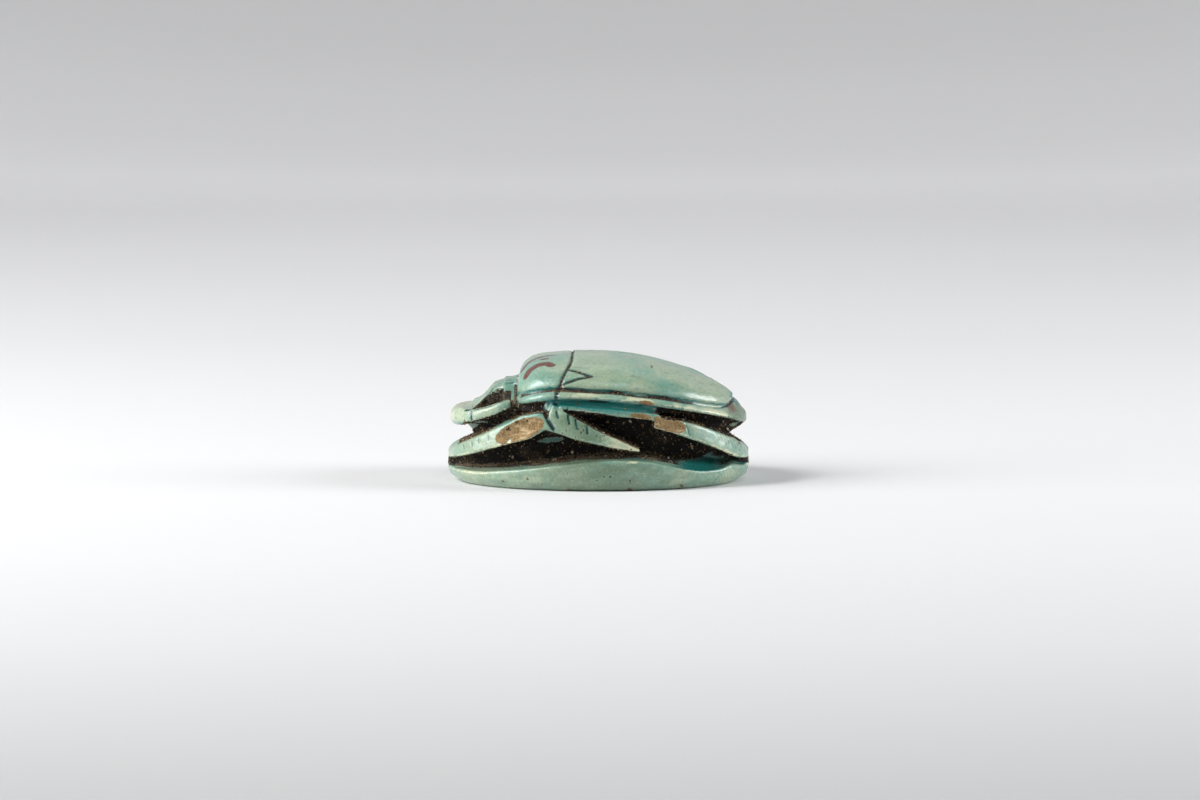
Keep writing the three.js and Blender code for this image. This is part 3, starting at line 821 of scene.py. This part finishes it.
def glazed_steatite(colours):
    """Alkaline glaze on steatite: a thin glassy skin, pale on edges and deep teal where it pooled, with
    painted shade and a painted highlight in its colour.
    """
    material, tree = new_material("glazed steatite")
    tones = {name: (*getattr(colours, name), 1) for name in GlazeColours.__annotations__}
    place = add(tree, "ShaderNodeTexCoord").outputs["Object"]
    # Brush marks run along the body, so their pattern is drawn out four times and flattened.
    drawn_out = add(tree, "ShaderNodeMapping", None, {"Vector": place, "Scale": (0.25, 1, 1.6)}).outputs[0]
    # Each pattern's size in millimetres, levels of detail and roughness. The pits and the grit are finer on
    # the real thing, and are drawn as coarse as they need to be to show.
    sizes = {
        "clouds": (3.0, 4, 0.55), "streaks": (0.5, 4, 0.6), "speckle": (0.22, 6, 0.75),
        "fine": (0.14, 4, 0.65), "pits": (0.22, 2, 0.4), "grit": (0.09, 5, 0.75),
    }
    noise = []
    for name, (size, detail, roughness) in sizes.items():
        inputs = {"Scale": 1 / (size * MM), "Detail": detail, "Roughness": roughness}
        inputs["Vector"] = drawn_out if name == "streaks" else place
        noise.append(add(tree, "ShaderNodeTexNoise", None, inputs).outputs["Fac"])
    kept = {
        name: add(tree, "ShaderNodeAttribute", {"attribute_name": name}).outputs["Fac"]
        for name in ("painted_shade", "wear_and_highlight", "teal", "line", "stain", "paint", "bare", "soil", "dust")
    }
    clouds, streaks, speckle, fine, pits, grit = noise
    # The glaze dulled and darkened: the colour of the painted shade, also used for the dark specks.
    in_painted_shade = shaded(tones["green"], 0.42, 0.5, 0.46)
    brushed = shaded(tones["green"], 0.82, 0.82, 0.82)
    shadowed = shaded(tones["stone"], 0.35, 0.35, 0.35)
    stone, _ = coats(tree, shadowed, (
        ("grain", grit, None, 0, 0.38, 0.6, tones["stone"], 1),
        ("streak", streaks, None, 0, 0.5, 0.7, tones["streak"], 1),
    ))
    dirt, _ = coats(tree, tones["soil"], (("dust", grit, kept["dust"], 0.22, 0.58, 0.8, tones["dust"], 1),))
    tint, shown = coats(tree, tones["green"], (
        ("thick glaze", clouds, None, 0, 0.38, 0.66, tones["blue_green"], 1),
        ("brush marks", streaks, None, 0, 0.5, 0.78, brushed, 1),
        # Painted shade: the glaze darker where the shade mask lies.
        ("painted_shade", kept["painted_shade"], streaks, 0.7, 0.35, 1.35, in_painted_shade, 1),
        ("light specks", speckle, None, 0, 0.5, 0.72, tones["pale"], 0.5),
        ("dark specks", speckle, None, 0, 0.48, 0.3, in_painted_shade, 0.6),
        # Pale on worn edges, and painted highlight on the front of the head.
        ("worn", kept["wear_and_highlight"], speckle, 0.9, 0.72, 1.4, tones["pale"], 1),
        # Teal where glaze pooled, and painted shade under the rim.
        ("pooled", kept["teal"], fine, 0.5, 0.42, 1.05, tones["teal"], 1),
        ("line", kept["line"], fine, 0.4, 0.45, 1.0, tones["line"], 1),
        # Dirt in the pits, showing a little more under the painted shade.
        ("pits", pits, kept["painted_shade"], 0.085, 0.71, 0.78, tones["pit"], 1),
        ("stained", kept["stain"], speckle, 1.2, 0.9, 1.5, tones["stain"], 1),
        ("painted", kept["paint"], speckle, 1.0, 0.75, 1.25, tones["pigment"], 1),
        ("bare", kept["bare"], fine, 0.5, 0.6, 0.85, stone, 1),
        ("packed", kept["soil"], fine, 0.6, 0.55, 0.85, dirt, 1),
    ))
    # Stone and dirt are matt and dry. The glaze is smooth, under a thin clear coat.
    dry = {0: shown["packed"], 1: shown["bare"]}
    matt = add(tree, "ShaderNodeMath", {"operation": "MAXIMUM"}, dry).outputs[0]
    coat, rough = (
        add(tree, "ShaderNodeMapRange", None, {"Value": matt, "To Min": glazed, "To Max": bare}).outputs[0]
        for glazed, bare in ((0.45, 0.0), (0.26, 0.92))
    )
    surface(tree, {
        "Base Color": tint, "Roughness": rough, "IOR": 1.5,
        "Normal": relief(tree, 0.03, fine, (grit, 0.5), (pits, -0.6)),
        "Coat Weight": coat, "Coat Roughness": 0.24, "Coat IOR": 1.5,
        "Coat Normal": relief(tree, 0.02, speckle, (fine, 0.6)),
    })
    return material


def paper_with_painted_shade(settings):
    """Matt white paper with painted shade: grey in front of the amulet, white behind it and grey again far
    away.
    """
    material, tree = new_material("seamless paper")
    place = add(tree, "ShaderNodeTexCoord").outputs["Object"]
    parts = add(tree, "ShaderNodeSeparateXYZ", None, {0: place}).outputs
    # Painted shade, from 0.12 m in front of the amulet to 1 m behind it: the share of the paper's colour kept
    # there.
    run = {"Value": parts["Y"], "From Min": -0.12, "From Max": 1.0}
    depth = add(tree, "ShaderNodeMapRange", None, run).outputs[0]
    ramp = add(tree, "ShaderNodeValToRGB", None, {"Fac": depth})
    shares = (
        (0, 0.5), (0.02, 0.56), (0.037, 0.66), (0.05, 0.73), (0.075, 0.81), (0.1, 0.86), (0.21, 0.88),
        (0.265, 0.93), (0.366, 1.0), (0.55, 1.0), (0.58, 0.91), (0.616, 0.85), (0.64, 0.79), (0.66, 0.76),
        (1, 0.74),
    )
    fill_ramp(ramp, [(position, [share * c for c in settings.sweep]) for position, share in shares])
    surface(tree, {"Base Color": ramp.outputs[0], "Roughness": 0.9, "Specular IOR Level": 0.1})
    return material


def loose_dirt(colours):
    """Dry crumbs from black-brown soil to pale grains of stone, and straw-coloured fibres: all matt."""
    material, tree = new_material("dry burial dirt")
    tint = add(tree, "ShaderNodeAttribute", {"attribute_name": "tint"}).outputs["Fac"]
    ramp = add(tree, "ShaderNodeValToRGB", None, {"Fac": tint})
    fill_ramp(ramp, (
        (0, colours.soil), (0.4, colours.earth), (0.7, colours.clay), (0.9, colours.straw), (1, colours.grit),
    ))
    surface(tree, {"Base Color": ramp.outputs[0], "Roughness": 0.8, "Specular IOR Level": 0.3})
    return material


# ---- Loose dirt ----


def dirt_tree(material):
    """Crumbs thrown over the packed dirt of a mesh, larger lumps and a few fibres, as one mesh."""
    tree = bpy.data.node_groups.new("loose dirt", "GeometryNodeTree")
    for name in ("Geometry", "Crumbs", "Fibres", "Lumps", "Crumb Size", "Seed"):
        kind = {"Geometry": "Geometry", "Seed": "Int"}.get(name, "Float")
        tree.interface.new_socket(name, in_out="INPUT", socket_type=f"NodeSocket{kind}")
    tree.interface.new_socket("Geometry", in_out="OUTPUT", socket_type="NodeSocketGeometry")
    given = add(tree, "NodeGroupInput").outputs
    soil = add(tree, "GeometryNodeInputNamedAttribute", {"data_type": "FLOAT"}, {"Name": "soil"})
    squared = {0: soil.outputs["Attribute"], 1: 2.0}
    packed = add(tree, "ShaderNodeMath", {"operation": "POWER"}, squared).outputs[0]

    def scattered(per_area, shape, smallest, largest, darkest, seed):
        """Copies of a shape on the packed dirt, turned every way, from one size to another."""
        thick = add(tree, "ShaderNodeMath", {"operation": "MULTIPLY"}, {0: packed, 1: per_area}).outputs[0]
        spread = {"Mesh": given["Geometry"], "Density": thick, "Seed": given["Seed"]}
        spots = add(tree, "GeometryNodeDistributePointsOnFaces", None, spread).outputs["Points"]
        ranges = {0: smallest, 1: largest, "Seed": seed}, {0: (-3.1,) * 3, 1: (3.1,) * 3, "Seed": seed + 1}
        size, turn = (
            add(tree, "FunctionNodeRandomValue", {"data_type": "FLOAT_VECTOR"}, limits).outputs[0]
            for limits in ranges
        )
        copies = {"Points": spots, "Instance": shape, "Rotation": turn, "Scale": size}
        laid = add(tree, "GeometryNodeInstanceOnPoints", None, copies).outputs[0]
        limits = {2: darkest, 3: 1.0, "Seed": seed + 2}
        tint = add(tree, "FunctionNodeRandomValue", {"data_type": "FLOAT"}, limits).outputs[1]
        on_copies = {"data_type": "FLOAT", "domain": "INSTANCE"}
        tinted = {"Geometry": laid, "Name": "tint", "Value": tint}
        return add(tree, "GeometryNodeStoreNamedAttribute", on_copies, tinted).outputs[0]

    box = add(tree, "ShaderNodeCombineXYZ", None, {axis: given["Crumb Size"] for axis in range(3)}).outputs[0]
    crumb = add(tree, "GeometryNodeMeshCube", None, {"Size": box}).outputs[0]
    bow = {"Start": (-0.25 * MM, 0, 0), "Middle": (0, 0.16 * MM, 0.05 * MM), "End": (0.25 * MM, 0, 0)}
    bend = add(tree, "GeometryNodeCurveQuadraticBezier", None, {"Resolution": 5, **bow}).outputs[0]
    width = {"Resolution": 4, "Radius": 0.011 * MM}
    hair = add(tree, "GeometryNodeCurvePrimitiveCircle", None, width).outputs["Curve"]
    swept = {"Curve": bend, "Profile Curve": hair, "Fill Caps": True}
    fibre = add(tree, "GeometryNodeCurveToMesh", None, swept).outputs[0]
    both = add(tree, "GeometryNodeJoinGeometry")
    for part in (
        scattered(given["Fibres"], fibre, (0.4, 0.4, 0.4), (1.4, 1.4, 1.4), 0.6, 20),
        scattered(given["Crumbs"], crumb, (0.3, 0.25, 0.2), (1.0, 0.7, 0.5), 0.0, 10),
        scattered(given["Lumps"], crumb, (0.8, 0.7, 0.5), (1.7, 1.4, 1.1), 0.3, 30),
    ):
        tree.links.new(part, both.inputs[0])
    real = add(tree, "GeometryNodeRealizeInstances", None, {"Geometry": both.outputs[0]}).outputs[0]
    covered = add(tree, "GeometryNodeSetMaterial", None, {"Geometry": real, "Material": material}).outputs[0]
    add(tree, "NodeGroupOutput", None, {"Geometry": covered})
    return tree


def make_loose_dirt(on, sizes, material):
    """The dirt as a plain mesh of its own."""
    holder = placed("dirt_holder", on.data)
    spread = holder.modifiers.new("loose dirt", "NODES")
    spread.node_group = dirt_tree(material)
    values = {name: float(getattr(sizes, name.lower())) / MM**2 for name in ("Crumbs", "Fibres", "Lumps")}
    values |= {"Crumb Size": sizes.crumb_size, "Seed": sizes.seed}
    for item in spread.node_group.interface.items_tree:
        if item.in_out == "INPUT" and item.name in values:
            spread[item.identifier] = values[item.name]
    graph = bpy.context.evaluated_depsgraph_get()
    mesh = bpy.data.meshes.new_from_object(holder.evaluated_get(graph), depsgraph=graph)
    bpy.data.objects.remove(holder)
    return placed("loose_dirt", mesh)


# ---- Stage ----


def make_sweep():
    """A wide dish of paper, flat under the amulet and rising smoothly far away."""
    # Radius and height, in metres.
    profile = [(r, 0.0) for r in (0.05, 0.15, 0.3, 0.45)]
    profile += [(0.45 + 0.35 * math.sin(a), 0.35 * (1 - math.cos(a))) for a in np.radians(range(6, 91, 6))]
    profile += [(0.8, 0.5), (0.8, 0.7)]
    sides = 96
    turns = [2 * math.pi * i / sides for i in range(sides)]
    points = [(0, 0, 0)] + [(r * math.cos(a), r * math.sin(a), h) for r, h in profile for a in turns]
    faces = [(0, 1 + i, 1 + (i + 1) % sides) for i in range(sides)]
    for row in range(len(profile) - 1):
        base = 1 + row * sides
        for i in range(sides):
            j = (i + 1) % sides
            faces.append((base + i, base + sides + i, base + sides + j, base + j))
    return mesh_of("paper_sweep", points, faces)


def aim(thing, at):
    thing.rotation_euler = (Vector(at) - thing.location).to_track_quat("-Z", "Y").to_euler()


def softbox(name, place, size, watts, at=(0, 0, 0.004), tint=(1, 1, 1)):
    light = bpy.data.lights.new(name, "AREA")
    light.shape, light.size, light.size_y = "RECTANGLE", *size
    light.energy, light.color = watts, tint
    lamp = placed(name, light)
    lamp.location = place
    aim(lamp, at)


def make_camera(studio):
    lens = bpy.data.cameras.new("camera")
    lens.lens, lens.sensor_width = 100, 36  # in millimetres
    lens.clip_start, lens.clip_end = 0.005, 5
    camera = placed("camera", lens)
    middle = Vector((0.1 * MM, 0, 5.3 * MM))
    back = Vector((0, -math.cos(studio.elevation), math.sin(studio.elevation)))
    camera.location = middle + back * studio.distance
    aim(camera, middle)
    bpy.context.scene.camera = camera


# ---- Operators ----


class AMULET_OT_carve(bpy.types.Operator):
    """Carves the scarab in one piece, with its chips, and glazes it"""

    bl_idname = "amulet.carve"
    bl_label = "Carve Scarab"

    def execute(self, context):
        piece = make_scarab(context.scene.carving_sizes)
        piece.data.materials.append(glazed_steatite(context.scene.glaze_colours))
        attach(piece, "root")
        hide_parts("scarab")
        return {"FINISHED"}


class AMULET_OT_scatter(bpy.types.Operator):
    """Scatters crumbs and fibres over the packed dirt"""

    bl_idname = "amulet.scatter"
    bl_label = "Scatter Dirt"

    def execute(self, context):
        material = loose_dirt(context.scene.glaze_colours)
        piece = make_loose_dirt(bpy.data.objects["carved_scarab"], context.scene.dirt_sizes, material)
        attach(piece, "root")
        return {"FINISHED"}


class AMULET_OT_light(bpy.types.Operator):
    """Lays the paper, hangs the lights and sets the camera"""

    bl_idname = "amulet.light"
    bl_label = "Set the Stage"

    def execute(self, context):
        scene = context.scene
        make_camera(scene.studio_settings)
        sweep = make_sweep()
        sweep.data.materials.append(paper_with_painted_shade(scene.studio_settings))
        # Place and size in metres, then the power in watts.
        softbox("left_softbox", (-0.36, -0.1, 0.15), (0.26, 0.24), 1.68)
        softbox("left_high_softbox", (-0.22, -0.09, 0.24), (0.08, 0.08), 0.54)
        softbox("front_high_softbox", (0.07, -0.17, 0.28), (0.07, 0.07), 0.12)
        softbox("right_softbox", (0.35, -0.02, 0.13), (0.14, 0.18), 1.1, tint=(0.97, 0.99, 1.0))
        softbox("backdrop_softbox", (0, 0.45, 0.6), (1.2, 0.4), 2.0, at=(0, 0.75, 0.1))
        scene.world = bpy.data.worlds.new("studio air")
        scene.world.use_nodes = True
        air = scene.world.node_tree.nodes["Background"].inputs
        air["Color"].default_value, air["Strength"].default_value = (1, 1, 1, 1), 0.02
        scene.view_settings.view_transform = "Standard"
        return {"FINISHED"}


class AMULET_PT_panel(bpy.types.Panel):
    """Lists the steps and their sizes"""

    bl_idname = "AMULET_PT_panel"
    bl_label = "Scarab"
    bl_space_type = "VIEW_3D"
    bl_region_type = "UI"
    bl_category = "Scarab"

    def draw(self, context):
        for group, operator in zip(GROUPS, (AMULET_OT_carve, None, AMULET_OT_scatter, AMULET_OT_light)):
            box = self.layout.box()
            settings = getattr(context.scene, group)
            for name in type(settings).__annotations__:
                box.prop(settings, name)
            if operator:
                box.operator(operator.bl_idname)


GROUPS = {
    "carving_sizes": CarvingSizes, "glaze_colours": GlazeColours,
    "dirt_sizes": DirtSizes, "studio_settings": StudioSettings,
}
CLASSES = (*GROUPS.values(), AMULET_OT_carve, AMULET_OT_scatter, AMULET_OT_light, AMULET_PT_panel)


def register():
    for kind in CLASSES:
        bpy.utils.register_class(kind)
    for name, kind in GROUPS.items():
        setattr(bpy.types.Scene, name, PointerProperty(type=kind))


def unregister():
    for name in GROUPS:
        delattr(bpy.types.Scene, name)
    for kind in reversed(CLASSES):
        bpy.utils.unregister_class(kind)


def main():
    register()
    bpy.ops.amulet.light()
    bpy.ops.amulet.carve()
    bpy.ops.amulet.scatter()
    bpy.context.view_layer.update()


if __name__ == "__main__":
    main()
